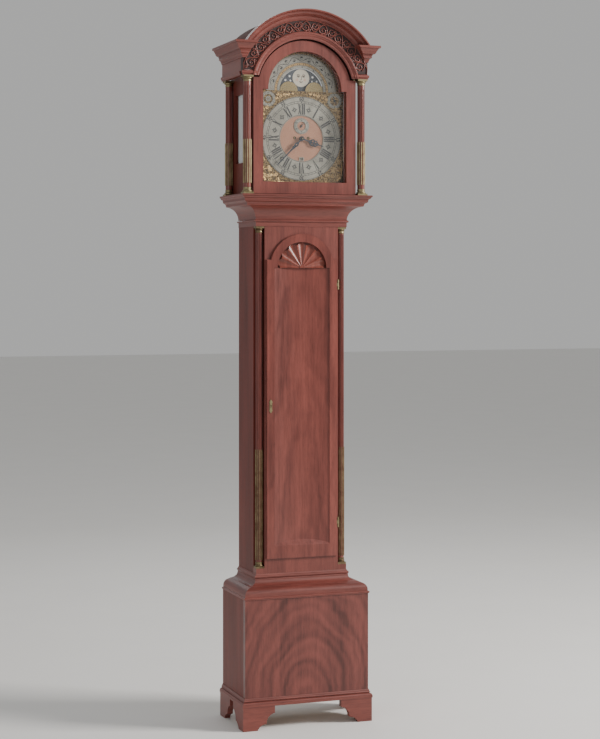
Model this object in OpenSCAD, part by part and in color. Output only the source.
// Tall-case (grandfather) clock: mahogany case, sliding arched hood, brass dial with a moon
// disc, eight-day weight-driven movement and a seconds pendulum.
// Front faces -Y, +Z is up, the backs of all boards share one plane, units are millimetres.

/* [Case] */
// Width of the trunk over its side boards
trunk_w = 326; // [300:1:380]
// Depth of the trunk from its front face to the back plane
trunk_d = 190; // [175:1:230]
// How far the base box stands out beyond the trunk at the front and at each side
base_step = 58; // [40:1:75]
// Height of the bracket feet
feet_h = 80; // [60:1:110]
// Height of the box of the base, from the top of the feet to the waist moulding
base_h = 355; // [280:1:430]
// Height of the waist moulding between base and trunk
waist_h = 77; // [70:1:90]
// Height of the plain band below the trunk columns
plinth_h = 18; // [12:1:30]
// Height of the trunk columns with their brasses
shaft_h = 1157; // [1050:1:1250]
// Height of the throat moulding from the column capitals to the hood
throat_h = 88; // [86:1:110]
// Side of the square notch that holds each trunk column
notch = 30; // [26:1:36]
// Radius of a trunk column
trunk_col_r = 11.5; // [9:0.5:13]
// Thickness of the outer case boards
board_t = 16; // [12:1:20]

/* [Trunk door] */
// Width of the lipped trunk door
door_w = 256; // [230:1:256]
// Height of the door from its bottom edge to the base line of the shell
door_rise = 987; // [880:1:1020]
// Gap between the plinth band and the bottom of the door
door_foot = 30; // [20:1:40]
// Radius of the arch of the door
door_arch_r = 116; // [108:1:117]
// Height of the door's shoulders above the base line of the shell
door_shoulder = 28; // [20:1:40]
// Width of the hollowed panel
panel_w = 199; // [150:1:200]
// Depth of the hollow in the panel at its middle
panel_sag = 13; // [6:0.5:14]
// Radius of the recess that holds the carved shell
shell_r = 88; // [70:1:88]
// Angle that the trunk door opens to, in degrees
door_swing = 105; // [60:1:110]

/* [Hood] */
// How far the top of the hood's base moulding stands out beyond the trunk
hood_step = 70; // [66:1:80]
// Height from the hood's base to the springing of its arches
spring_h = 354; // [340:1:380]
// Radius of the arched head of the hood door
hood_arch_r = 168; // [166:1:170]
// Gap round the arched head of the hood door
arch_gap = 5; // [4:0.5:6]
// Radial width of the arched architrave
architrave_w = 22; // [16:1:26]
// Radial width of the fretted frieze
frieze_w = 43; // [36:1:46]
// Radial height of the arched cornice
cornice_w = 33; // [28:1:36]
// How far the cornice stands out from the frieze
cornice_out = 36; // [28:1:40]
// Width of the hood door
hood_door_w = 368; // [360:1:370]
// Width of the sight opening of the hood door
sight_w = 300; // [290:1:302]
// Radius of the arched sight opening
sight_r = 132; // [126:1:132]
// Radius of a hood column
hood_col_r = 13.5; // [11:0.5:14]
// Distance of a hood column's axis from the middle of the clock
hood_col_x = 205; // [203:1:208]
// Distance that the hood slides forward to come off
hood_travel = 280; // [200:1:300]

/* [Dial and movement] */
// Width of the dial plate
dial_w = 305; // [303:1:308]
// Height of the dial's centre above the hood's base
dial_centre_h = 193; // [188:1:196]
// Outer radius of the chapter ring
chapter_r = 143; // [135:1:145]
// Inner radius of the chapter ring
chapter_in_r = 77.5; // [70:0.5:85]
// Length of the minute hand from its centre to its tip
minute_len = 131; // [115:1:138]
// Length of the hour hand from its centre to its tip
hour_len = 85; // [70:1:95]
// Radius of a winding drum
drum_r = 15; // [13:0.5:16]
// Length of the pendulum from its pivot to the middle of its bob
pendulum_len = 994; // [900:1:1000]
// Radius of the pendulum's bob
bob_r = 55; // [40:1:60]
// Radius of a driving weight
weight_r = 29; // [24:1:31]
// Length of a driving weight
weight_len = 220; // [150:1:240]

/* [Hidden] */

fine = 96;          // facets of large arcs
small = 32;         // facets of small rounds
eps = 0.01;         // overshoot of cutting shapes
far = 700;          // longer than any board is wide

// Heights
waist_z = feet_h + base_h;
plinth_z = waist_z + waist_h;
column_z = plinth_z + plinth_h;
capital_z = column_z + shaft_h;
throat_z = capital_z + throat_h;
hood_base_t = 19;
floor_z = throat_z + hood_base_t;
spring_z = floor_z + spring_h;
head_z = spring_z + 44;             // underside of the hood's entablature
frieze_z = head_z + 14;             // underside of the frieze blocks
cornice_z = frieze_z + 44;          // underside of the cornice returns
cornice_h = 55;                     // height of the cornice returns
dial_z = floor_z + dial_centre_h;

// Radii of the hood's concentric arches
intrados_r = hood_arch_r + arch_gap;
frieze_in_r = intrados_r + architrave_w;
frieze_out_r = frieze_in_r + frieze_w;
top_r = frieze_out_r + cornice_w;

// Depths, measured forward from the back plane
base_d = trunk_d + base_step;
platform_d = trunk_d + hood_step;
hood_door_t = 20;
hood_door_d = platform_d - 34;      // front face of the hood door
frieze_d = hood_door_d + 8;
cornice_d = frieze_d + cornice_out;
door_gap = 1;
mask_t = 8;
mask_d = hood_door_d - hood_door_t - door_gap;
hood_col_d = hood_door_d - 4;
dial_d = mask_d - mask_t - 9;       // front face of the dial plate
back_y = cornice_d / 2;             // y of the back plane

// Half widths
trunk_x = trunk_w / 2;
base_x = trunk_x + base_step;
hood_side_x = 192;                  // outer face of the hood's sides
hood_board_t = 14;
block_x = 224;                      // outer face of the frieze blocks
notch_x = trunk_x - notch;          // front edge of the trunk's flat face

mahogany = "#8f4a3e";
dark_mahogany = "#6f3a32";
pine = "#a8845c";
brass = "#c8a95a";
gilt = "#d9b45c";
silvered = "#b9bab2";
steel = "#5a646c";
lead = "#6c6c70";
glass = [0.8, 0.9, 0.9, 0.35];

// ---------- Helpers ----------

// Points of an arc in a plane
function arc(cx, cy, r, a0, a1, n = 8) =
  [for (i = [0:n]) let (a = a0 + (a1 - a0) * i / n) [cx + r * cos(a), cy + r * sin(a)]];

// Extrudes a front elevation (x, z) between two depths from the back plane
module front(d0, d1) {
  translate([0, back_y - d0, 0]) rotate([90, 0, 0]) linear_extrude(d1 - d0) children();
}

// A block from x0 to x1, depth d0 to d1, height z0 to z1
module block(x0, x1, d0, d1, z0, z1) {
  translate([x0, back_y - d1, z0]) cube([x1 - x0, d1 - d0, z1 - z0]);
}

// Moves children to a place given by x, depth and height
module at(x, d, z) {
  translate([x, back_y - d, z]) children();
}

// A true round rod that points forward from depth d0 to d1
module rod(x, z, r, d0, d1, fn = small) {
  at(x, d0, z) rotate([90, 0, 0]) cylinder(r = r, h = d1 - d0, $fn = fn);
}

module both_sides() {
  children();
  mirror([1, 0, 0]) children();
}

// A moulding that wraps the front and both sides of a box, mitred at its front corners.
// pts are [outward, z]; hw is the box's half width and d its depth.
module wrapped_moulding(pts, hw, d) {
  reach = 80;
  core = 60;
  module run(len) linear_extrude(len) polygon([for (p = pts) [-p[0], p[1]]]);
  intersection() {
    at(-far / 2, d, 0) rotate([90, 0, 90]) run(far);
    translate([0, back_y - d, 0]) linear_extrude(far * 4)
      polygon([[-hw - reach, -reach], [hw + reach, -reach], [hw - core, core],
        [-hw + core, core]]);
  }
  both_sides() intersection() {
    at(hw, 0, 0) rotate([90, 0, 0]) linear_extrude(d + reach) polygon(pts);
    translate([0, back_y - d, 0]) linear_extrude(far * 4)
      polygon([[hw + reach, -reach], [hw + reach, d], [hw - core, d], [hw - core, core]]);
  }
}

// A ring turned about the centre of the hood's arches; pts are [radius, depth]
module arch_ring(pts) {
  translate([0, back_y, spring_z]) rotate([90, 0, 0])
    rotate_extrude($fn = 2 * fine) polygon(pts);
}

// Keeps what lies above a height
module above(z) {
  intersection() {
    children();
    block(-far / 2, far / 2, -far / 2, far, z, z + far);
  }
}

// The outline of an arched opening or door: straight sides up to shoulders, then an arch
module arched(hw, z0, shoulder_z, r, centre_z) {
  translate([-hw, z0]) square([2 * hw, shoulder_z - z0]);
  translate([0, centre_z]) circle(r = r, $fn = 2 * fine);
}

// ---------- Base ----------

foot_w = 112;
foot_t = 20;
foot_out = 12;                      // projection of the foot moulding

// Silhouette of a bracket foot: it springs from a corner at x = 0
module bracket_outline() {
  difference() {
    square([foot_w, feet_h]);
    translate([foot_w + 4, feet_h * 0.28]) circle(r = feet_h * 0.42, $fn = 48);
    translate([foot_w - 30, -feet_h * 0.16]) circle(r = feet_h * 0.42, $fn = 48);
    translate([foot_w - 30, -eps]) square([foot_w, feet_h * 0.28]);
  }
}

module bracket_feet() {
  color(mahogany) both_sides() {
    at(-base_x - foot_out + 2, base_d + foot_out - 2 - foot_t, 0)
      rotate([90, 0, 0]) linear_extrude(foot_t) bracket_outline();
    at(-base_x - foot_out + 2, base_d + foot_out - 2, 0)
      rotate([90, 0, 90]) linear_extrude(foot_t) bracket_outline();
    // rear foot
    at(-base_x - foot_out + 2, 0, 0) mirror([0, 1, 0]) rotate([90, 0, 90])
      linear_extrude(foot_t) bracket_outline();
  }
}

module foot_moulding() {
  h = 28;
  color(mahogany) wrapped_moulding(concat(
    [[0, feet_h], [foot_out, feet_h], [foot_out, feet_h + 8]],
    arc(foot_out - 8, feet_h + 8, 7, 0, 90, 6),
    [[foot_out - 8.5, feet_h + 17]],
    arc(foot_out - 1.5, feet_h + 25, 7.5, -120, -180, 5),
    [[1.5, feet_h + h], [0, feet_h + h]]), base_x, base_d);
}

base_front_t = 20;

module base_front() {
  color(mahogany) block(-base_x, base_x, base_d - base_front_t, base_d, feet_h, waist_z);
}

module base_sides() {
  color(dark_mahogany) both_sides()
    block(base_x - board_t, base_x, 0, base_d - base_front_t, feet_h, waist_z);
}

back_t = 12;

module inner_boards() {
  color(pine) {
    // back of the base
    block(-base_x + board_t, base_x - board_t, 0, back_t, feet_h, waist_z);
    // bottom of the base
    block(-base_x + board_t, base_x - board_t, back_t, base_d - base_front_t,
      feet_h + 6, feet_h + 18);
    // back board of trunk and hood
    block(-trunk_x + board_t, trunk_x - board_t, 0, back_t, waist_z, spring_z + 40);
  }
}

module waist_moulding() {
  b = base_step;
  z = waist_z;
  color(mahogany) wrapped_moulding(concat(
    [[0, z], [b + 1, z], [b + 3, z + 1]],
    arc(b + 1, z + 5, 3, -60, 80, 5),
    [[b - 1, z + 9], [b - 1, z + 12]],
    arc(b - 23, z + 14, 22, 2, 78, 8),
    [[b - 27, z + 38.5]],
    arc(b - 26, z + 73, 34, -92, -134, 6),
    [[5, z + 56], [5, z + 60]],
    arc(1, z + 67, 6, -60, 70, 7),
    [[1, plinth_z], [0, plinth_z]]), trunk_x, trunk_d);
}

// ---------- Trunk ----------

open_x = 121;                       // half width of the door opening
lip_over = 9.5;                     // width of the lip beyond the opening's stop
door_x = door_w / 2;
door_z0 = column_z + door_foot;
shell_z = door_z0 + door_rise;      // base line of the shell
shoulder_z = shell_z + door_shoulder;
lip_t = 6.5;
lip_gap = 0.5;
door_d = trunk_d + lip_gap + lip_t; // front face of the trunk door
door_body_t = 18;
door_back_d = trunk_d + lip_gap - door_body_t;
door_clear = door_x - lip_over;     // half width of the door's body
lock_z = door_z0 + 518;
cheek_top_z = dial_z - 95;          // underside of the seat board

module trunk_sides() {
  color(dark_mahogany) both_sides() {
    block(trunk_x - board_t, trunk_x, 0, trunk_d - notch, waist_z, cheek_top_z);
  }
}

// Outline of the door opening in the front frame
module door_opening() {
  arched(open_x, door_z0 + lip_over - 2, shoulder_z - lip_over + 2,
    door_arch_r - lip_over + 2, shell_z);
}

rail_t = 20;                        // thickness of the rail over the trunk door

module trunk_frame() {
  color(mahogany) {
    difference() {
      front(trunk_d - notch, trunk_d) difference() {
        union() {
          translate([-trunk_x, waist_z]) square([trunk_w, column_z - waist_z]);
          translate([-notch_x, waist_z]) square([2 * notch_x, throat_z - waist_z]);
          translate([-trunk_x, capital_z]) square([trunk_w, throat_z - capital_z]);
        }
        door_opening();
      }
      // the rail over the door is thinner than the stiles, clear of the weights
      block(-open_x, open_x, trunk_d - notch - 1, trunk_d - rail_t, shell_z, throat_z + 1);
      // mortise for the bolt of the lock
      block(-open_x - 9, -open_x + eps, trunk_d - notch + 5, trunk_d - notch + 13,
        lock_z - 13, lock_z + 13);
      // housings for the fixed hinge leaves
      for (z = hinge_z)
        block(open_x - eps, notch_x - 2 + eps, trunk_d - hinge_leaf_t, trunk_d + 1,
          z - hinge_h / 2, z + hinge_h / 2);
    }
    // glue blocks behind the column notches
    both_sides() block(open_x + 2, trunk_x - board_t, trunk_d - notch - board_t,
      trunk_d - notch, column_z - 12, capital_z + 12);
  }
}

trunk_col_x = trunk_x - notch / 2;
trunk_col_d = trunk_d - notch / 2;
trunk_brass_h = 22;
flutes = 12;
trunk_reed_h = 373;                 // length of the brass reeds in the trunk columns

// A shaft with flutes, standing at the origin
module fluted_shaft(r, h, flute_r, plain) {
  difference() {
    cylinder(r = r, h = h, $fn = 64);
    for (i = [0:flutes - 1])
      rotate([0, 0, 360 / flutes * (i + 0.5)]) translate([r + 0.35, 0, plain])
        cylinder(r = flute_r, h = h - 2 * plain, $fn = 24);
  }
}

// Brass reeds that fill the lower flutes
module reeds(r, flute_r, plain, h) {
  for (i = [0:flutes - 1])
    rotate([0, 0, 360 / flutes * (i + 0.5)]) translate([r + 0.1, 0, plain + 0.3])
      cylinder(r = flute_r - 0.35, h = h, $fn = 16);
}

// A moulded brass base: square plinth, torus, scotia and fillet
module brass_base(half, r, h) {
  p = h * 0.3;
  translate([-half, -half, 0]) cube([2 * half, 2 * half, p]);
  rotate_extrude($fn = 64) polygon(concat(
    [[0, p - 0.5], [half - 1.5, p - 0.5]],
    arc(half - 3.5, p + 2.5, 2.8, -60, 80, 6),
    [[half - 4.5, p + 5.6]],
    arc(r + 4.2, p + 8.6, 2.8, -100, -190, 5),
    [[r + 2, h - 3.5], [r + 2, h - 1.4], [r + 0.6, h], [0, h]]));
}

module trunk_columns() {
  color(mahogany) both_sides() at(trunk_col_x, trunk_col_d, column_z + trunk_brass_h)
    fluted_shaft(trunk_col_r, shaft_h - 2 * trunk_brass_h, 2, 6);
}

module trunk_column_brass() {
  half = notch / 2 - 0.4;
  color(brass) both_sides() at(trunk_col_x, trunk_col_d, column_z) {
    brass_base(half, trunk_col_r - 1, trunk_brass_h);
    translate([0, 0, shaft_h]) mirror([0, 0, 1])
      brass_base(half, trunk_col_r - 1, trunk_brass_h);
    translate([0, 0, trunk_brass_h]) reeds(trunk_col_r, 2, 6, trunk_reed_h);
  }
}

// Profile of the throat: plain band, astragal, cavetto and stepped fillets
module throat_moulding() {
  z = capital_z;
  cove = 46;
  color(mahogany) wrapped_moulding(concat(
    [[0, z], [1.5, z], [1.5, z + 15]],
    arc(3, z + 19, 4, -90, 90, 8),
    [[2, z + 23.5]],
    arc(2 + cove, z + 23.5, cove, 180, 95, 12),
    [[47, z + 70.5], [47, z + 75]],
    arc(54, z + 75, 6, 180, 100, 5),
    [[56, z + 83], [58, z + 84], [58, throat_z], [0, throat_z]]), trunk_x, trunk_d);
}

seat_t = 20;
plate_x = 58;                       // half width of the movement's plates
front_plate_d = dial_d - 17;        // front face of the front plate
plate_t = 3;
plate_gap = 63;
back_plate_d = front_plate_d - plate_t - plate_gap;   // front face of the back plate
drum_mid_d = back_plate_d + 32;
going_x = 24.5;                     // barrel arbors lie at plus and minus this x
barrel_z = dial_z + 2;
line_r = 0.9;
wound_r = drum_r + 2 * line_r - 0.2;                  // radius over the wound line
line_x = going_x + wound_r + line_r + 0.1;            // where a line leaves its drum
pulley_r = 22;
pulley_x = line_x + pulley_r + line_r;
dead_x = pulley_x + pulley_r + line_r;                // the line's fixed end

// Seat board on the cheeks, and the runners that guide the hood
module seat_board() {
  color(pine) {
    difference() {
      block(-trunk_x, trunk_x, back_plate_d - 8, front_plate_d + 6,
        cheek_top_z, cheek_top_z + seat_t);
      both_sides() for (x = [line_x, dead_x])
        at(x, drum_mid_d, cheek_top_z - 1) cylinder(r = 4, h = seat_t + 2, $fn = small);
    }
    both_sides() block(trunk_x, trunk_x + 12, back_t, trunk_d - notch - 20,
      floor_z + 0.8, floor_z + 12.8);
  }
}

hinge_h = 34;
hinge_leaf_t = 1.4;
hinge_x = door_x + 3.6;
hinge_d = trunk_d + 4;
knuckle_r = 3.2;
hinge_z = [door_z0 + 116, shell_z - 57];

// Case halves of the trunk door's hinges: leaf, two outer knuckles and the pin
module trunk_hinges() {
  seg = hinge_h / 3;
  color(brass) for (z = hinge_z) {
    difference() {
      union() {
        block(open_x, notch_x - 2, trunk_d - hinge_leaf_t, trunk_d,
          z - hinge_h / 2, z + hinge_h / 2);
        for (s = [-1, 1]) {
          at(hinge_x, hinge_d, z + s * seg - seg / 2) cylinder(r = knuckle_r, h = seg,
            $fn = small);
          block(hinge_x - 1.5, notch_x - 2, trunk_d - 0.2, hinge_d,
            z + s * seg - seg / 2, z + s * seg + seg / 2);
        }
      }
      at(hinge_x, hinge_d, z - seg / 2 - 0.15) cylinder(r = knuckle_r + 0.3,
        h = seg + 0.3, $fn = small);
    }
    at(hinge_x, hinge_d, z - seg / 2 - 0.2) cylinder(r = 1.4, h = seg + 0.4, $fn = small);
  }
}

// ---------- Trunk door ----------

panel_step = 2.5;                   // depth of the panel at its edges
trough_h = panel_sag - panel_step;
trough_r = (pow(panel_w / 2, 2) + pow(trough_h, 2)) / (2 * trough_h);
panel_z0 = door_z0 + 43;
shell_depth = 13;

module trunk_door() {
  color(mahogany) difference() {
    union() {
      front(trunk_d + lip_gap, door_d - 2)
        arched(door_x, door_z0, shoulder_z, door_arch_r, shell_z);
      front(door_d - 2 - eps, door_d)
        arched(door_x - 2, door_z0 + 2, shoulder_z - 2, door_arch_r - 2, shell_z);
      front(door_back_d, trunk_d + lip_gap + eps)
        arched(door_clear, door_z0 + lip_over, shoulder_z - lip_over,
          door_arch_r - lip_over, shell_z);
    }
    // hollow panel with a sloping sill
    intersection() {
      at(0, door_d - panel_sag + trough_r, panel_z0)
        cylinder(r = trough_r, h = shell_z - panel_z0, $fn = 360);
      at(-panel_w / 2, 0, 0) rotate([90, 0, 90]) linear_extrude(panel_w)
        polygon([[-door_d - 1, panel_z0 - 1], [-door_d + panel_sag + 4, panel_z0 + 26],
          [-door_d + panel_sag + 4, shell_z], [-door_d - 1, shell_z]]);
    }
    // recess of the shell
    above(shell_z) front(door_d - shell_depth, door_d + 1)
      translate([0, shell_z]) circle(r = shell_r, $fn = 2 * fine);
    // housings for the moving hinge leaves
    for (z = hinge_z)
      block(door_x - 4, door_x + 1, hinge_d - 2, hinge_d + 2,
        z - hinge_h / 6 + 0.3, z + hinge_h / 6 - 0.3);
    // keyhole
    rod(-door_x + 15, lock_z, 3, door_back_d - 1, door_d + 1);
  }
}

lobes = 7;

// Carved shell: a half disc hollowed into lobes that fan out from the middle of its base
module door_shell() {
  r = shell_r - 1;
  step = 180 / lobes;
  d0 = door_d - shell_depth;
  rib_d = d0 + 9.5;
  half = step / 2 - 1;              // half angle of a lobe, between thin ribs
  fall = 5.4;                       // slope of a lobe's bottom
  tilt = atan((cos(fall) - cos(half)) / sin(fall));
  color(mahogany) {
    difference() {
      above(shell_z) front(d0, rib_d) {
        translate([0, shell_z]) circle(r = r - 8, $fn = 2 * fine);
        for (i = [0:lobes - 1])
          translate([(r - 14) * cos(step * (i + 0.5)),
            shell_z + (r - 14) * sin(step * (i + 0.5))]) circle(r = 13, $fn = 48);
      }
      for (i = [0:lobes - 1]) intersection() {
        at(0, rib_d, shell_z) rotate([0, -step * (i + 0.5), 0]) rotate([0, 0, -tilt])
          translate([8, 0, 0]) rotate([0, 90, 0]) cylinder(r1 = 8 * tan(tilt + fall),
            r2 = (8 + r) * tan(tilt + fall), h = r, $fn = 60);
        block(-r - 2, r + 2, d0, rib_d + 0.2, shell_z, shell_z + r + 2);
      }
    }
    above(shell_z) front(d0 + 1, rib_d + 1) translate([0, shell_z]) circle(r = 9, $fn = 48);
  }
}

module door_escutcheon() {
  x = -door_x + 15;
  color(brass) difference() {
    front(door_d, door_d + 1.4) union() {
      translate([x, lock_z]) square([9, 26], center = true);
      for (s = [-1, 1]) translate([x, lock_z + s * 14]) {
        circle(r = 5.6, $fn = small);
        translate([0, s * 6]) circle(r = 2.6, $fn = small);
      }
    }
    rod(x, lock_z + 2.5, 2.1, door_d - 1, door_d + 3);
    block(x - 0.9, x + 0.9, door_d - 1, door_d + 3, lock_z - 7, lock_z + 2);
  }
}

lock_d = door_back_d - 9;
bolt_travel = 6;

module door_lock() {
  color(brass) difference() {
    block(-door_x + 13, -door_x + 48, lock_d, door_back_d, lock_z - 32, lock_z + 32);
    // channel of the bolt, and the keyhole
    block(-door_x + 12, -door_x + 40, lock_d + 1.5, lock_d + 7.5, lock_z + 1.8, lock_z + 12.2);
    block(-door_x + 14.1, -door_x + 15.9, lock_d - 1, door_back_d + 1, lock_z - 7, lock_z + 2);
  }
}

module lock_bolt() {
  color(steel) block(-door_x + 13.5, -door_x + 33, lock_d + 1.6, lock_d + 7.4,
    lock_z + 2, lock_z + 12);
}

// Door halves of the hinges: the middle knuckle and its leaf
module door_hinges() {
  seg = hinge_h / 3 - 0.6;
  color(brass) for (z = hinge_z) difference() {
    union() {
      at(hinge_x, hinge_d, z - seg / 2) cylinder(r = knuckle_r, h = seg, $fn = small);
      block(door_x - 4, hinge_x, hinge_d - 1.8, hinge_d + 1.8, z - seg / 2, z + seg / 2);
    }
    at(hinge_x, hinge_d, z - seg) cylinder(r = 1.46, h = 2 * seg, $fn = small);
  }
}

// ---------- Hood ----------

slide_gap = 0.3;                    // clearance under the sliding hood
runner_gap = 0.8;

module hood_base() {
  z = throat_z + slide_gap;
  t = platform_d - trunk_d;
  color(mahogany) difference() {
    union() {
      wrapped_moulding(concat(
        [[-1, z], [t - 11, z], [t - 11, z + 4]],
        arc(t - 11, z + 12.5, 7.5, -80, -10, 5),
        [[t, z + 13.5], [t, floor_z], [-1, floor_z]]), trunk_x, trunk_d);
      // inner frame that the sides and the mask stand on
      block(-trunk_x - 2, trunk_x + 2, trunk_d - 2, trunk_d + 2, z, floor_z);
    }
    // bore for the lower pin of the hood door
    at(hood_pin_x, hood_pin_d, floor_z - 8) cylinder(r = hood_pin_r + 0.06, h = 9, $fn = small);
    // the sides run past the trunk's cheeks with a little play
    both_sides() block(trunk_x - 2, trunk_x + runner_gap, -1, trunk_d + 0.5, z - 1, floor_z + 1);
  }
}

window_d0 = 52;
window_d1 = 134;
window_z0 = floor_z + 110;
window_h = 234;
glass_t = 2;

module hood_sides() {
  z1 = cornice_z + 40;
  color(dark_mahogany) both_sides() difference() {
    block(hood_side_x - hood_board_t, hood_side_x, 0, mask_d, floor_z, z1);
    block(0, far, window_d0, window_d1, window_z0, window_z0 + window_h);
    // rebate for the glass
    block(0, hood_side_x - hood_board_t + 4, window_d0 - 5, window_d1 + 5,
      window_z0 - 5, window_z0 + window_h + 5);
  }
}

module hood_side_glass() {
  x = hood_side_x - hood_board_t + 4;
  color(glass) both_sides() block(x - glass_t, x, window_d0 - 4.5, window_d1 + 4.5,
    window_z0 - 4.5, window_z0 + window_h + 4.5);
}

sight_z0 = floor_z + 43;

module sight_opening(grow = 0) {
  arched(sight_w / 2 + grow, sight_z0 - grow, spring_z, sight_r + grow, spring_z);
}

module hood_mask() {
  x = hood_side_x - hood_board_t;
  color(dark_mahogany) front(mask_d - mask_t, mask_d) difference() {
    union() {
      translate([-x, floor_z]) square([2 * x, cornice_z - floor_z]);
      translate([0, spring_z]) intersection() {
        circle(r = top_r - 24, $fn = 2 * fine);
        translate([-x, 0]) square([2 * x, top_r]);
      }
    }
    sight_opening(0.5);
  }
}

arch_front_t = 20;

// Board behind the frieze: it closes the hood above the door
module hood_arch_front() {
  color(mahogany) difference() {
    front(frieze_d - arch_front_t - 4, frieze_d) difference() {
      intersection() {
        translate([0, spring_z]) circle(r = top_r - 8, $fn = 2 * fine);
        translate([-block_x, head_z]) square([2 * block_x, top_r]);
      }
      translate([0, spring_z]) circle(r = intrados_r, $fn = 2 * fine);
    }
    at(hood_pin_x, hood_pin_d, head_z - 1)
      cylinder(r = hood_pin_r + 0.06, h = 9, $fn = small);
  }
}

fret_t = 4;
fret_repeats = 19;

// One repeat of the fret, cut through the band at an angle about the arch's centre
module fret_scroll(a) {
  r = (frieze_in_r + frieze_out_r) / 2;
  w = frieze_w / 2;
  for (s = [-1, 1]) {
    rotate(a) translate([r + s * w * 0.42, 0]) circle(r = w * 0.24, $fn = 24);
    rotate(a + s * 3.1) translate([r - s * w * 0.42, 0]) circle(r = w * 0.2, $fn = 24);
    rotate(a + s * 2.6) translate([r + s * w * 0.2, 0]) circle(r = w * 0.13, $fn = 16);
  }
}

// Pierced fret on the arched frieze and on the two frieze blocks
module hood_fret() {
  half = asin((frieze_z - spring_z) / frieze_in_r) + 6;
  color(mahogany) front(frieze_d, frieze_d + fret_t) difference() {
    intersection() {
      translate([0, spring_z]) difference() {
        union() {
          circle(r = frieze_out_r, $fn = 2 * fine);
          translate([-block_x, frieze_z - spring_z])
            square([2 * block_x, cornice_z - frieze_z]);
        }
        circle(r = frieze_in_r, $fn = 2 * fine);
      }
      translate([-block_x, frieze_z]) square([2 * block_x, top_r]);
    }
    translate([0, spring_z])
      for (i = [0:fret_repeats - 1])
        fret_scroll(half + (180 - 2 * half) * i / (fret_repeats - 1));
  }
}

// Profile of the architrave, [outward from the wall it lies on, height above its foot]
architrave_out = 5;

module hood_architrave() {
  d = frieze_d;
  h = frieze_z - head_z;
  color(mahogany) {
    difference() {
      above(head_z) arch_ring([[intrados_r, d], [frieze_in_r, d], [frieze_in_r, d + 7],
        [frieze_in_r - 4, d + 7], [frieze_in_r - 6, d + 5], [frieze_in_r - 11, d + 3.5],
        [frieze_in_r - 12, d + 2], [intrados_r + 4, d + 2], [intrados_r + 1, d + 0.4],
        [intrados_r, d + 0.4]]);
      for (s = [-1, 1]) scale([s, 1, 1]) block(block_x, far, -far, far, 0, far * 4);
    }
    difference() {
      wrapped_moulding([[-hood_board_t, head_z], [2, head_z], [2, head_z + 4],
        [architrave_out, head_z + 6], [architrave_out, frieze_z], [-hood_board_t, frieze_z]],
        block_x, frieze_d);
      block(-intrados_r - 3, intrados_r + 3, frieze_d - 60, frieze_d + 60, 0, far * 4);
      block(-block_x - far, block_x + far, frieze_d - arch_front_t - 4, frieze_d,
        head_z - 1, frieze_z + 1);
    }
  }
}

// Profile of the cornice: [outward, share of its height]
function cornice_profile(h, out) = concat(
  [[0, 0], [3, 0], [3, 0.1 * h]],
  arc(3 + 0.3 * out, 0.1 * h, 0.26 * out, 180, 100, 6),
  [[0.32 * out, 0.4 * h], [0.38 * out, 0.42 * h], [0.38 * out, 0.48 * h]],
  arc(0.38 * out, 0.48 * h + 0.3 * out, 0.3 * out, -90, -10, 6),
  [[0.86 * out, 0.84 * h], [out, 0.86 * h], [out, h], [0, h]]);

module hood_cornice() {
  color(mahogany) {
    above(cornice_z + cornice_h - 2) arch_ring([for (p = cornice_profile(cornice_w, cornice_out))
      [frieze_out_r + p[1], frieze_d + p[0]]]);
    difference() {
      wrapped_moulding([for (p = cornice_profile(cornice_h, cornice_out))
        [p[0], cornice_z + p[1]]], block_x, frieze_d);
      at(0, frieze_d - 100, spring_z) rotate([90, 0, 0])
        cylinder(r = frieze_out_r, h = 200, $fn = 2 * fine);
    }
    // fascia of the side friezes
    both_sides() block(block_x - 6, block_x, 0, frieze_d - arch_front_t - 4,
      frieze_z, cornice_z + cornice_h / 2);
  }
}

roof_t = 8;

module hood_roof() {
  d1 = frieze_d - arch_front_t - 4;
  z0 = cornice_z + 40;
  r = top_r - 10;
  color(dark_mahogany) union() {
    difference() {
      above(z0) at(0, 0, spring_z) rotate([90, 0, 0]) cylinder(r = r, h = d1, $fn = 2 * fine);
      at(0, -1, spring_z) rotate([90, 0, 0]) cylinder(r = r - roof_t, h = d1 + 2, $fn = 2 * fine);
    }
    both_sides() difference() {
      block(hood_side_x - hood_board_t, block_x, 0, d1, z0, z0 + roof_t);
      at(0, -1, spring_z) rotate([90, 0, 0])
        cylinder(r = r - roof_t / 2, h = d1 + 2, $fn = 2 * fine);
    }
  }
}

hood_brass_h = 23;
hood_cap_h = 21;
rear_col_d = 20;
hood_shaft_h = head_z - floor_z - hood_brass_h - hood_cap_h;
hood_reed_h = 146;

module hood_column_places() {
  both_sides() {
    at(hood_col_x, hood_col_d, 0) children();
    at(hood_col_x, rear_col_d, 0) children();
  }
}

module hood_columns() {
  color(mahogany) hood_column_places() translate([0, 0, floor_z + hood_brass_h])
    fluted_shaft(hood_col_r - 1, hood_shaft_h, 2.1, 14);
}

module hood_column_brass() {
  half = 17.4;
  color(brass) intersection() {
    hood_column_places() {
      translate([0, 0, floor_z]) brass_base(half, hood_col_r - 2, hood_brass_h);
      translate([0, 0, head_z]) mirror([0, 0, 1]) brass_base(half, hood_col_r - 2, hood_cap_h);
      translate([0, 0, floor_z + hood_brass_h]) reeds(hood_col_r - 1, 2.1, 14, hood_reed_h);
    }
    // the rear columns stand against the sides
    union() {
      block(-far, far, mask_d + 1, far, 0, 4 * far);
      both_sides() block(hood_side_x, far, 0, mask_d, 0, 4 * far);
    }
  }
}

// ---------- Hood door ----------

hood_pin_x = hood_door_w / 2 - 4;
hood_pin_d = hood_door_d - 4;
hood_pin_r = 2;
door_lift = 3;
hood_shoulder_z = head_z - 5;

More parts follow.
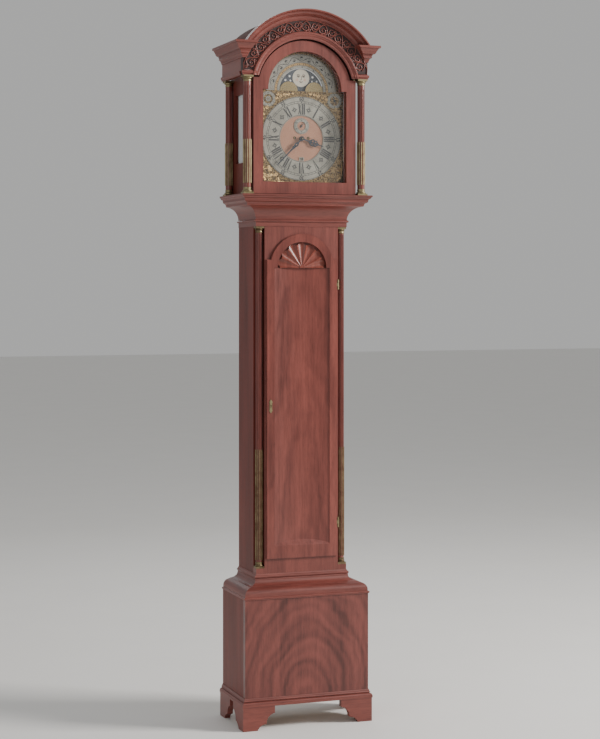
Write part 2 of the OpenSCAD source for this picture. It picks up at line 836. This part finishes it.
module hood_door() {
  color(mahogany) difference() {
    front(hood_door_d - hood_door_t, hood_door_d) difference() {
      arched(hood_door_w / 2, floor_z + door_lift, hood_shoulder_z, hood_arch_r, spring_z);
      sight_opening();
    }
    // rebate that holds the glass
    front(hood_door_d - hood_door_t - 1, hood_door_d - 12) sight_opening(5);
    for (z = [floor_z + door_lift - 1, hood_shoulder_z - 20])
      at(hood_pin_x, hood_pin_d, z) cylinder(r = hood_pin_r, h = 21, $fn = small);
  }
}

module hood_door_glass() {
  color(glass) front(hood_door_d - 12 - glass_t, hood_door_d - 12) sight_opening(4.6);
}

// Pins that the hood door turns on, with the collars they carry
module hood_door_hinges() {
  color(brass) {
    at(hood_pin_x, hood_pin_d, floor_z - 7) cylinder(r = hood_pin_r, h = 7 + door_lift + 19,
      $fn = small);
    at(hood_pin_x, hood_pin_d, floor_z + 0.4) cylinder(r = hood_pin_r + 1.8,
      h = door_lift - 0.4, $fn = small);
    at(hood_pin_x, hood_pin_d, hood_shoulder_z - 19) cylinder(r = hood_pin_r,
      h = 19 + head_z - hood_shoulder_z + 7, $fn = small);
    at(hood_pin_x, hood_pin_d, hood_shoulder_z) cylinder(r = hood_pin_r + 1.8,
      h = head_z - hood_shoulder_z - 0.4, $fn = small);
  }
}

// ---------- Dial ----------

plate_low = 152.5;                  // dial plate below its centre
lune_r = 79;
hump_r = 32;
hump_x = 46;
moon_orbit = 47;
seconds_z = 43;                     // seconds arbor above the dial's centre
seconds_out_r = 27.5;
seconds_in_r = 15;
date_z = -70;                       // date aperture below the dial's centre
date_disc_z = -46;
date_disc_r = 30;
sub_x = 120;                        // subsidiary rings in the upper corners
sub_z = 132;
sub_r = 26;
dial_plate_t = 2;
ring_t = 2;

// Upright plane about the dial's centre
module on_dial(d0, d1) {
  front(d0, d1) translate([0, dial_z]) children();
}

module moon_opening() {
  translate([0, spring_z - dial_z]) difference() {
    intersection() {
      circle(r = lune_r, $fn = fine);
      translate([-lune_r, 0]) square([2 * lune_r, lune_r]);
    }
    for (s = [-1, 1]) translate([s * hump_x, 0]) circle(r = hump_r, $fn = 64);
  }
}

module dial_plate() {
  back = dial_d - dial_plate_t;
  color(brass) {
    difference() {
      on_dial(back, dial_d) difference() {
        arched(dial_w / 2, -plate_low, spring_z - dial_z, sight_r + 4, spring_z - dial_z);
        moon_opening();
        circle(r = 8, $fn = small);
        translate([0, seconds_z]) circle(r = 4, $fn = small);
        translate([-6, date_z - 4]) square([12, 9]);
        translate([sub_x, sub_z]) circle(r = 2.6, $fn = small);
      }
      for (s = [-1, 1]) rod(s * going_x, barrel_z, 5.2, back - 1, dial_d + 1);
    }
    // stud of the date disc
    rod(0, dial_z + date_disc_z, 1.5, back - 6, back + eps);
    // bridge and stud of the moon disc
    both_sides() block(lune_r + 4, lune_r + 10, back - 10, back + eps, spring_z - 6,
      spring_z + 4);
    block(-lune_r - 10, lune_r + 10, back - 10, back - 8, spring_z - 6, spring_z + 4);
    rod(0, spring_z, 2, back - 8 - eps, back - 2.5);
    // four pillars to the front plate
    both_sides() for (z = [-62, 88])
      rod(46, dial_z + z, 3, front_plate_d, back + eps);
  }
}

module ring_2d(r1, r0) {
  difference() {
    circle(r = r1, $fn = 2 * fine);
    circle(r = r0, $fn = fine);
  }
}

module chapter_ring() {
  color(silvered) on_dial(dial_d, dial_d + ring_t) ring_2d(chapter_r, chapter_in_r);
}

// Seconds ring, the two subsidiary rings and the frame of the date aperture
module dial_rings() {
  color(silvered) {
    on_dial(dial_d, dial_d + 1.5) translate([0, seconds_z]) ring_2d(seconds_out_r, seconds_in_r);
    on_dial(dial_d, dial_d + 2) for (s = [-1, 1]) translate([s * sub_x, sub_z])
      ring_2d(sub_r, sub_r - 10);
    on_dial(dial_d, dial_d + 2.5) translate([-sub_x, sub_z]) ring_2d(9, 2.5);
    on_dial(dial_d, dial_d + 1.2) difference() {
      translate([-8.5, date_z - 6]) square([17, 12.5]);
      translate([-6, date_z - 4]) square([12, 9]);
    }
  }
}

// Cast corner ornaments, pierced between their scrolls
module spandrels() {
  hw = dial_w / 2 - 4;
  color(gilt) on_dial(dial_d, dial_d + 3) difference() {
    intersection() {
      translate([-hw, -plate_low + 4]) square([2 * hw, 2 * plate_low]);
      union() for (sx = [-1, 1], sz = [-1, 1])
        translate([sx * hw, sz * (plate_low - 4)]) circle(r = 82, $fn = 64);
    }
    circle(r = chapter_r + 2.5, $fn = 2 * fine);
    for (s = [-1, 1]) translate([s * sub_x, sub_z]) circle(r = sub_r + 1.5, $fn = 64);
    for (sx = [-1, 1], a = [35, 45, 55])
      translate([sx * (chapter_r + 24) * cos(a), -(chapter_r + 24) * sin(a)])
        circle(r = 6, $fn = 24);
    for (sx = [-1, 1], a = [40, 50])
      translate([sx * (chapter_r + 10) * cos(a), -(chapter_r + 10) * sin(a)])
        circle(r = 4.2, $fn = 24);
    for (sx = [-1, 1]) translate([sx * (hw - 14), -(plate_low - 18)]) circle(r = 7, $fn = 24);
    translate([-hw - 1, 100 - 62]) square([2 * hw + 2, 4]);
  }
}

// Silvered band, gold ring and lunar ring of the dial arch, and the gilt humps
module arch_band() {
  z = spring_z - dial_z;
  color(silvered) on_dial(dial_d, dial_d + 1.5) {
    intersection() {
      translate([0, z]) union() {
        ring_2d(126, 97.6);
        ring_2d(97, 89);
        ring_2d(88.4, lune_r);
      }
      translate([-130, z + 0.5]) square([260, 130]);
    }
    for (s = [-1, 1]) intersection() {
      translate([s * hump_x, z]) circle(r = hump_r, $fn = 64);
      translate([-lune_r + 0.6, z + 0.5]) square([2 * lune_r - 1.2, hump_r]);
      translate([0, z]) circle(r = lune_r - 0.6, $fn = fine);
    }
  }
}

// ---------- Movement ----------

arbor_gap = 0.06;                   // running clearance of a pivot in its bore
pivot_r = 1.2;

// Going train: teeth of wheels and leaves of pinions
great_t = 84;
centre_p = 7;
centre_t = 64;
third_p = 8;
third_t = 60;
escape_p = 8;
escape_t = 30;
cannon_t = 36;
hour_t = 72;
hour_p = 6;

// Centre distances
great_c = norm([going_x, 2]);
train_m = 0.66;
third_c = train_m * (centre_t + third_p) / 2;
escape_c = train_m * (third_t + escape_p) / 2;
third_dz = (third_c * third_c - escape_c * escape_c + seconds_z * seconds_z) / (2 * seconds_z);
third_dx = sqrt(third_c * third_c - third_dz * third_dz);
motion_c = 21.45;
anchor_dz = seconds_z + 25.5;       // anchor arbor above the dial's centre

// Depths of the train's planes
great_d = back_plate_d + 11;
drum_d0 = back_plate_d + 19;
drum_d1 = drum_d0 + 26;
escape_d = back_plate_d + 28;
third_d = back_plate_d + 49;
centre_d = back_plate_d + 57;
cannon_d = front_plate_d + 2;
hour_d = front_plate_d + 6;

// A gear outline with short straight-sided teeth, one tooth centred on angle a
module gear_2d(n, m, a, tall = 0.7, deep = 0.95) {
  r = n * m / 2;
  p = 360 / n;
  polygon([for (i = [0:n - 1], k = [[-0.26, -deep], [-0.13, tall], [0.13, tall], [0.26, -deep]])
    let (t = a + p * (i + k[0]), q = r + k[1] * m) [q * cos(t), q * sin(t)]]);
}

// Spokes' gaps of a wheel
module crossings(r1, r0, n = 4) {
  for (i = [0:n - 1]) polygon([for (k = [[8, r0], [-8, r1], [0, r1], [8, r1]])
    let (t = 360 / n * i + 45 + (k[1] > r0 ? k[0] * 3.6 : 0)) [k[1] * cos(t), k[1] * sin(t)]]);
}

// A flat-sided arbor about the children's axis
module arbor(r, d0, d1) {
  rotate([90, 0, 0]) translate([0, 0, d0]) cylinder(r = r, h = d1 - d0, $fn = 12);
}

module pivots(d0, d1, r = pivot_r) {
  for (d = [[back_plate_d - plate_t + 0.2, d0 - 0.05], [d1 + 0.05, front_plate_d - 0.2]])
    rotate([90, 0, 0]) translate([0, 0, d[0]]) cylinder(r = r, h = d[1] - d[0], $fn = small);
}

// A wheel or pinion about the children's axis, from depth d for a thickness t
module wheel(n, m, a, d, t, hole_r1 = 0, hole_r0 = 0) {
  rotate([90, 0, 0]) translate([0, 0, d]) linear_extrude(t) difference() {
    gear_2d(n, m, a);
    if (hole_r1 > 0) crossings(hole_r1, hole_r0);
  }
}

module axis_at(x, z) {
  translate([x, back_y, dial_z + z]) children();
}

a_centre_great = atan2(2, going_x);             // from the centre towards the great wheel
a_centre_third = atan2(third_dz, third_dx);
a_third_escape = atan2(seconds_z - third_dz, -third_dx);

inner_d0 = back_plate_d + 0.4;
inner_d1 = front_plate_d - plate_t - 0.4;

module great_wheel() {
  color(brass) axis_at(going_x, 2) rotate([90, 0, 0]) translate([0, 0, great_d])
    linear_extrude(2.5) difference() {
      gear_2d(great_t, 2 * great_c / (great_t + centre_p), a_centre_great + 180);
      circle(r = 3.1, $fn = small);
      for (i = [0:4]) rotate(72 * i + 20) translate([12, 0]) circle(r = 4, $fn = 12);
    }
}

module centre_wheel() {
  m = 2 * great_c / (great_t + centre_p);
  color(brass) axis_at(0, 0) {
    wheel(centre_p, m, a_centre_great + 180 / centre_p, great_d - 2, 7);
    arbor(1.15, inner_d0, great_d + 6);
    arbor(2.2, great_d + 6, inner_d1);
    wheel(centre_t, train_m, a_centre_third, centre_d, 2, 17, 5);
    pivots(inner_d0, inner_d1);
    // front pivot goes on through the dial to carry the cannon pinion
    rotate([90, 0, 0]) translate([0, 0, front_plate_d - 0.15])
      cylinder(r = 1.6, h = hand_end_d - front_plate_d + 0.15, $fn = small);
  }
}

module third_wheel() {
  color(brass) axis_at(third_dx, third_dz) {
    wheel(third_p, train_m, a_centre_third + 180 + 180 / third_p, centre_d - 1.5, 5);
    wheel(third_t, train_m, a_third_escape, third_d, 2, 15.5, 5);
    arbor(1.4, inner_d0, centre_d - 1.4);
    arbor(1.4, centre_d + 3.4, inner_d1);
    pivots(inner_d0, inner_d1);
  }
}

// Escape wheel with pointed teeth
module escape_wheel() {
  r = 17;
  p = 360 / escape_t;
  color(brass) axis_at(0, seconds_z) {
    rotate([90, 0, 0]) translate([0, 0, escape_d]) linear_extrude(1.6) difference() {
      polygon([for (i = [0:escape_t - 1], k = [[0, r], [0.15, r - 3.4], [0.8, r - 3.4]])
        let (t = p * (i + k[0])) [k[1] * cos(t), k[1] * sin(t)]]);
      crossings(11.5, 4.5);
    }
    wheel(escape_p, train_m, a_third_escape + 180 + 180 / escape_p, third_d - 1.5, 5);
    arbor(1.4, inner_d0, third_d - 1.4);
    arbor(1.4, third_d + 3.4, inner_d1);
    pivots(inner_d0, inner_d1);
    // long front pivot that carries the seconds hand
    rotate([90, 0, 0]) translate([0, 0, front_plate_d - 0.15])
      cylinder(r = 1, h = dial_d + 2.2 - front_plate_d, $fn = small);
  }
}

hand_end_d = dial_d + 13.5;
seconds_hand_d = dial_d + 2.4;
hour_hand_d = dial_d + 5.5;
minute_hand_d = dial_d + 9.5;
rest_minutes = 37.4;                // the clock stands at 3:37
rest_hours = 3;
minute_a = rest_minutes * 6;
hour_a = 30 * (rest_hours + rest_minutes / 60);

// A hand outline is turned clockwise from twelve
module hand(a, d, t) {
  axis_at(0, 0) rotate([0, a, 0]) rotate([90, 0, 0]) translate([0, 0, d])
    linear_extrude(t) children();
}

module mirrored(pts) {
  polygon(concat(pts, [for (i = [len(pts) - 1:-1:0]) [-pts[i][0], pts[i][1]]]));
}

module hour_hand() {
  color(steel) {
    hand(hour_a, hour_hand_d, 1.2) difference() {
      union() {
        circle(r = 8, $fn = small);
        mirrored([[3, 4], [2.2, 22], [3.5, 27], [11, 36], [13, 43], [9, 47], [12, 53],
          [7, 58], [3.5, 62], [2, 66], [0.6, hour_len]]);
      }
      circle(r = 3.1, $fn = small);
      translate([0, 40]) for (s = [-1, 1]) translate([s * 4.6, 0]) circle(r = 3, $fn = 16);
      translate([0, 51]) for (s = [-1, 1]) translate([s * 4.2, 0]) circle(r = 2.4, $fn = 16);
    }
  }
  // hour wheel and its pipe
  color(brass) axis_at(0, 0) {
    rotate([90, 0, 0]) translate([0, 0, hour_d]) linear_extrude(2) difference() {
      gear_2d(hour_t, 2 * motion_c / (hour_t + hour_p), -90);
      circle(r = 3.1, $fn = small);
      for (i = [0:5]) rotate(60 * i) translate([11.5, 0]) circle(r = 3.6, $fn = 12);
    }
    rotate([90, 0, 0]) translate([0, 0, hour_d + 2 + 0.02]) difference() {
      cylinder(r = 4.4, h = hour_hand_d - hour_d - 2.04, $fn = small);
      translate([0, 0, -1]) cylinder(r = 3.1, h = 40, $fn = small);
    }
  }
}

module minute_hand() {
  color(steel) hand(minute_a, minute_hand_d, 1.2) difference() {
    union() {
      circle(r = 6.5, $fn = small);
      mirrored([[2.6, 4], [1.8, 16], [3, 20], [6.5, 27], [6.8, 33], [4.4, 38], [5.4, 43],
        [3, 50], [2.4, 56], [1.9, minute_len - 10], [0.5, minute_len]]);
    }
    circle(r = 1.7, $fn = small);
    translate([0, 30]) circle(r = 2.2, $fn = 16);
  }
  // cannon pinion, its pipe and the collet that holds the hand
  color(brass) axis_at(0, 0) rotate([90, 0, 0]) {
    translate([0, 0, cannon_d]) linear_extrude(2) difference() {
      gear_2d(cannon_t, 2 * motion_c / (2 * cannon_t), -90);
      circle(r = 1.7, $fn = small);
    }
    translate([0, 0, cannon_d + 2.02]) difference() {
      cylinder(r = 3, h = minute_hand_d - cannon_d - 2.04, $fn = small);
      translate([0, 0, -1]) cylinder(r = 1.7, h = 40, $fn = small);
    }
    translate([0, 0, minute_hand_d + 1.22]) difference() {
      cylinder(r1 = 5, r2 = 3.4, h = 1.8, $fn = small);
      translate([0, 0, -1]) cylinder(r = 1.7, h = 40, $fn = small);
    }
  }
}

module motion_wheel() {
  m = 2 * motion_c / (hour_t + hour_p);
  color(brass) axis_at(0, -motion_c) rotate([90, 0, 0]) {
    translate([0, 0, cannon_d]) linear_extrude(2) difference() {
      gear_2d(cannon_t, motion_c / cannon_t, 90 + 180 / cannon_t);
      circle(r = 1.06, $fn = small);
    }
    translate([0, 0, cannon_d + 2]) linear_extrude(6) difference() {
      gear_2d(hour_p, m, 90 + 180 / hour_p);
      circle(r = 1.06, $fn = 16);
    }
  }
}

module seconds_hand() {
  color(steel) axis_at(0, seconds_z) rotate([90, 0, 0]) translate([0, 0, seconds_hand_d])
    linear_extrude(0.8) rotate(-38) difference() {
      union() {
        circle(r = 3, $fn = small);
        mirrored([[1.1, -9], [1.4, -4], [0.9, 4], [0.35, 19]]);
      }
      circle(r = 1.03, $fn = small);
    }
}

module drum(x, teeth) {
  axis_at(x, 2) rotate([90, 0, 0]) {
    translate([0, 0, drum_d0]) cylinder(r = drum_r, h = drum_d1 - drum_d0, $fn = 64);
    // layers of gut wound on the drum
    for (i = [0:8]) translate([0, 0, drum_d0 + 3 + i * 2.2]) rotate_extrude($fn = 64)
      translate([drum_r + line_r - 0.2, 0]) circle(r = line_r, $fn = 16);
    for (z = [drum_d0, drum_d1 - 1.5]) translate([0, 0, z])
      cylinder(r = drum_r + 3, h = 1.5, $fn = 64);
    // arbor: its pivots run in the plates and its square passes the dial
    translate([0, 0, back_plate_d - plate_t + 0.2])
      cylinder(r = 2.5, h = drum_d0 - back_plate_d + plate_t, $fn = small);
    translate([0, 0, drum_d1 - eps])
      cylinder(r = 2.5, h = front_plate_d + 0.5 - drum_d1, $fn = small);
    translate([0, 0, front_plate_d + 0.4]) rotate(45)
      cylinder(r = 2.4, h = dial_d - front_plate_d - 1, $fn = 4);
  }
}

module going_drum() {
  color(brass) drum(going_x);
}

// The strike drum carries its great wheel on the same arbor
module strike_drum() {
  color(brass) {
    drum(-going_x);
    axis_at(-going_x, 2) rotate([90, 0, 0]) translate([0, 0, great_d]) linear_extrude(2.5)
      gear_2d(78, 2 * great_c / (great_t + centre_p), 0);
  }
}

module plate_outline() {
  translate([-plate_x, cheek_top_z + seat_t - dial_z]) square([2 * plate_x, 184]);
}

pillar_x = 50;
pillar_z = [-66, 62];

module movement_plates() {
  r = pivot_r + arbor_gap;
  color(brass) difference() {
    union() {
      for (d = [back_plate_d - plate_t, front_plate_d - plate_t])
        on_dial(d, d + plate_t) plate_outline();
      both_sides() for (z = pillar_z)
        rod(pillar_x, dial_z + z, 4, back_plate_d - eps, front_plate_d - plate_t + eps);
      // post of the motion work
      rod(0, dial_z - motion_c, 1, front_plate_d - eps, hour_d + 3.5);
      // back cock that carries the pendulum and the anchor's rear pivot
      block(-16, 16, back_plate_d - plate_t - 24, back_plate_d - plate_t + eps,
        dial_z + anchor_dz + 12, dial_z + anchor_dz + 17);
      block(-16, 16, cock_d, cock_d + plate_t,
        dial_z + anchor_dz - 8, dial_z + anchor_dz + 17);
      rod(0, dial_z + anchor_dz, 5.5, cock_d - 5, cock_d + eps);
    }
    for (p = [[0, 0], [third_dx, third_dz], [0, seconds_z]])
      rod(p[0], dial_z + p[1], r, back_plate_d - 10, front_plate_d + 10);
    rod(0, dial_z, 1.7, front_plate_d - plate_t / 2, front_plate_d + 10);
    for (s = [-1, 1])
      rod(s * going_x, barrel_z, 2.56, back_plate_d - 10, front_plate_d + 10);
    rod(0, dial_z + anchor_dz, r, back_plate_d - 10, front_plate_d + 10);
    rod(0, dial_z + anchor_dz, r, back_plate_d - 40, back_plate_d - 10);
    rod(0, dial_z + anchor_dz, trunnion_r + arbor_gap, cock_d - 6, cock_d);
    rod(0, dial_z + anchor_dz, 4, back_plate_d - 10, back_plate_d + 1);
    rod(hammer_x, dial_z + hammer_dz, r, back_plate_d - 10, front_plate_d + 10);
  }
}

bell_dz = 128;                      // rim of the bell above the dial's centre
bell_r = 46;
bell_d = back_plate_d + 22;

// Bell and the stand that carries it
module bell() {
  color(silvered) {
    at(0, bell_d, dial_z + bell_dz) rotate_extrude($fn = 64) polygon(concat(
      arc(0, 0, bell_r, 0, 88, 16), [[2, bell_r - 0.5], [2, bell_r - 2.5]],
      [for (p = arc(0, 0, bell_r - 3, 86, 0, 16)) p]));
    at(0, bell_d, dial_z + plate_top_dz) cylinder(r = 2, h = bell_dz + bell_r + 6 - plate_top_dz,
      $fn = small);
    at(0, bell_d, dial_z + bell_dz + bell_r) cylinder(r = 6, h = 5, $fn = 6);
    block(-10, 10, back_plate_d, bell_d + 4, dial_z + plate_top_dz - 5, dial_z + plate_top_dz);
  }
}

plate_top_dz = cheek_top_z + seat_t + 184 - dial_z;
hammer_x = -44;
hammer_dz = 84;
hammer_d = back_plate_d + 22;

// Hammer: arbor, stem and head beside the bell's rim
module hammer() {
  top = bell_dz + 10 - hammer_dz;
  color(steel) axis_at(hammer_x, hammer_dz) {
    rotate([90, 0, 0]) translate([0, 0, inner_d0]) cylinder(r = 2, h = inner_d1 - inner_d0,
      $fn = small);
    rotate([90, 0, 0]) translate([0, 0, back_plate_d - plate_t + 0.2])
      cylinder(r = pivot_r, h = front_plate_d - 0.4 - back_plate_d + plate_t, $fn = small);
    translate([-9, -hammer_d - 1.5, -1]) cube([10, 3, 4]);
    translate([-9, -hammer_d - 1.5, -1]) cube([3, 3, top]);
    translate([-13, -hammer_d, top]) rotate([0, 90, 0]) cylinder(r = 5.5, h = 7.6, $fn = small);
  }
}

// Anchor with its two pallets, arbor and the crutch behind the back plate
module anchor() {
  c = anchor_dz - seconds_z;
  d = escape_d - 1;
  color(steel) axis_at(0, anchor_dz) {
    rotate([90, 0, 0]) translate([0, 0, d]) linear_extrude(4) {
      mirrored([[5, 3], [14, -3], [20, -11], [20, -17], [17.5, -19], [15.8, -12], [11, -6.5],
        [4, -4]]);
    }
    rotate([90, 0, 0]) translate([0, 0, back_plate_d - plate_t - 24 + 0.1])
      cylinder(r = pivot_r + 0.8, h = plate_gap + plate_t + 24 - 0.6, $fn = small);
    for (q = [[back_plate_d - plate_t - 26.8, 3], [front_plate_d - plate_t - 0.5, 3.3]])
      rotate([90, 0, 0]) translate([0, 0, q[0]]) cylinder(r = pivot_r, h = q[1], $fn = small);
    // crutch
    translate([-2, -back_plate_d + plate_t + 3, -105]) cube([4, 2, 106]);
    both_sides() translate([3.2, -back_plate_d + plate_t + 3, -106])
      cube([3, back_plate_d - plate_t - 3 - pend_d + 5, 4]);
    translate([-6.2, -back_plate_d + plate_t + 3, -106]) cube([12.4, 2, 4]);
  }
}

cock_d = back_plate_d - plate_t - 27;   // rear face of the back cock
pend_d = cock_d - 9;                    // plane of the pendulum rod
trunnion_r = 2.4;

// Pendulum: suspension spring, rod, bob and rating nut
module pendulum() {
  z0 = dial_z + anchor_dz;
  color(brass) {
    // round trunnion on the axis that the pendulum swings about
    rod(0, z0, trunnion_r, pend_d - 4, cock_d - 0.2);
    block(-0.5, 0.5, pend_d - 4, pend_d + 4, z0 - 40, z0);
    at(0, pend_d, z0 - pendulum_len - bob_r - 26)
      cylinder(r = 2.6, h = pendulum_len + bob_r - 13, $fn = small);
    intersection() {
      at(0, pend_d - 118, z0 - pendulum_len) sphere(r = 130, $fn = 200);
      at(0, pend_d + 118, z0 - pendulum_len) sphere(r = 130, $fn = 200);
      rod(0, z0 - pendulum_len, bob_r, pend_d - 20, pend_d + 20, fn = fine);
    }
    at(0, pend_d, z0 - pendulum_len - bob_r - 12) cylinder(r = 8, h = 6, $fn = 24);
  }
}

module moon_disc() {
  color("#33363c") difference() {
    front(dial_d - dial_plate_t - 4.5, dial_d - dial_plate_t - 2.5) translate([0, spring_z])
      circle(r = lune_r - 2, $fn = fine);
    rod(0, spring_z, 2.06, 0, dial_d);
  }
}

module date_disc() {
  color(silvered) difference() {
    on_dial(dial_d - dial_plate_t - 3.5, dial_d - dial_plate_t - 2) translate([0, date_disc_z])
      circle(r = date_disc_r, $fn = fine);
    rod(0, dial_z + date_disc_z, 1.56, 0, dial_d);
  }
}

// Strike and silent pointer in the right upper corner
module strike_pointer() {
  color(steel) {
    axis_at(sub_x, sub_z) rotate([90, 0, 0]) {
      translate([0, 0, dial_d - dial_plate_t - 4]) cylinder(r = 2.5, h = 8, $fn = small);
      translate([0, 0, dial_d + 3]) linear_extrude(1) rotate(20) union() {
        circle(r = 4, $fn = small);
        mirrored([[1.6, -8], [1.6, -4], [1, 4], [0.4, 15]]);
      }
    }
  }
}

// ---------- Weights ----------

pulley_z = dial_z - 480;            // pulley axles with the clock half run down
pulley_t = 7;

module weight(s) {
  x = s * pulley_x;
  z1 = pulley_z - 52;
  color(lead) at(x, drum_mid_d, z1 - weight_len) rotate_extrude($fn = 64)
    polygon(concat([[0, 0]], arc(weight_r - 3, 3, 3, -90, 0, 4),
      arc(weight_r - 3, weight_len - 3, 3, 0, 90, 4), [[0, weight_len]]));
  color(brass) {
    // hook, stirrup and pulley
    at(x, drum_mid_d, z1) cylinder(r = 2, h = 21, $fn = small);
    for (q = [-1, 1]) at(x - 5, drum_mid_d + q * 5.5 - 1, z1 + 20)
      translate([0, -2, 0]) cube([10, 2, 38]);
    at(x - 5, drum_mid_d - 6.5, z1 + 18) translate([0, -13, 0]) cube([10, 13, 3]);
    rod(x, pulley_z, 2, drum_mid_d - 6.5, drum_mid_d + 6.5);
    at(x, drum_mid_d - pulley_t / 2, pulley_z) rotate([90, 0, 0]) rotate_extrude($fn = 64)
      polygon([[2.2, 0], [pulley_r + 1.5, 0], [pulley_r + 1.5, 1.2],
        [pulley_r - 1.2, pulley_t / 2 - 0.6], [pulley_r - 1.2, pulley_t / 2 + 0.6],
        [pulley_r + 1.5, pulley_t - 1.2], [pulley_r + 1.5, pulley_t], [2.2, pulley_t]]);
  }
}

module going_weight() {
  weight(1);
}

module strike_weight() {
  weight(-1);
}

// Gut line: down from the drum, round the pulley and up to the seat board
module line(s) {
  color("#b79a62") {
    at(s * line_x, drum_mid_d, pulley_z) cylinder(r = line_r, h = barrel_z - pulley_z, $fn = 16);
    at(s * dead_x, drum_mid_d, pulley_z) cylinder(r = line_r,
      h = cheek_top_z + seat_t - pulley_z, $fn = 16);
    at(s * pulley_x, drum_mid_d, pulley_z) rotate([90, 0, 0]) rotate([0, 0, 180])
      rotate_extrude(angle = 180, $fn = 64) translate([pulley_r + line_r, 0])
        circle(r = line_r, $fn = 16);
    at(s * dead_x, drum_mid_d, cheek_top_z + seat_t) cylinder(r = 5.5, h = 5, $fn = small);
  }
}

module going_line() {
  line(1);
}

module strike_line() {
  line(-1);
}

bracket_feet();
foot_moulding();
base_front();
base_sides();
inner_boards();
waist_moulding();
trunk_sides();
trunk_frame();
trunk_columns();
trunk_column_brass();
throat_moulding();
seat_board();
trunk_hinges();
trunk_door();
door_shell();
door_escutcheon();
door_lock();
lock_bolt();
door_hinges();
hood_base();
hood_sides();
hood_side_glass();
hood_mask();
hood_arch_front();
hood_fret();
hood_architrave();
hood_cornice();
hood_roof();
hood_columns();
hood_column_brass();
hood_door();
hood_door_glass();
hood_door_hinges();
dial_plate();
chapter_ring();
dial_rings();
spandrels();
arch_band();
movement_plates();
bell();
hour_hand();
minute_hand();
motion_wheel();
seconds_hand();
escape_wheel();
third_wheel();
centre_wheel();
great_wheel();
going_drum();
strike_drum();
anchor();
pendulum();
hammer();
moon_disc();
date_disc();
strike_pointer();
going_weight();
strike_weight();
going_line();
strike_line();
